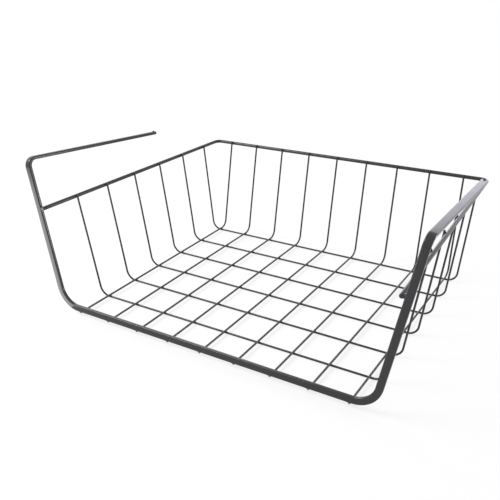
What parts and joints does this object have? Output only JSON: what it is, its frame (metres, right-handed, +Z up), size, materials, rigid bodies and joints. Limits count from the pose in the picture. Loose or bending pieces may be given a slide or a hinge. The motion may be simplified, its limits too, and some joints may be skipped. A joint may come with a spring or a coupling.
{
  "type": "under shelf basket",
  "caption": "Open-fronted welded wire basket whose flat bar frame carries hook arms that slide over a shelf board, so that it hangs beneath the shelf.",
  "frame": {"origin": "middle of the basket's footprint, on the plane of the undersides of its cross wires", "axes": "+Z up, +X to the right seen from the open front, +Y from the open front to the back wall"},
  "size_m": [0.397, 0.2914, 0.1559],
  "materials": {
    "powder_coat": "semi-gloss black powder coat with a faint orange peel over welded low-carbon steel wire and bar"
  },
  "bodies": {
    "root": {"front_frame": "powder_coat", "rim_wire": "powder_coat", "depth_wire_1": "powder_coat", "depth_wire_2": "powder_coat", "depth_wire_3": "powder_coat", "depth_wire_4": "powder_coat", "depth_wire_5": "powder_coat", "depth_wire_6": "powder_coat", "depth_wire_7": "powder_coat", "depth_wire_8": "powder_coat", "depth_wire_9": "powder_coat", "cross_wire_1": "powder_coat", "cross_wire_2": "powder_coat", "cross_wire_3": "powder_coat", "cross_wire_4": "powder_coat", "cross_wire_5": "powder_coat", "cross_wire_6": "powder_coat"}
  },
  "joints": []
}
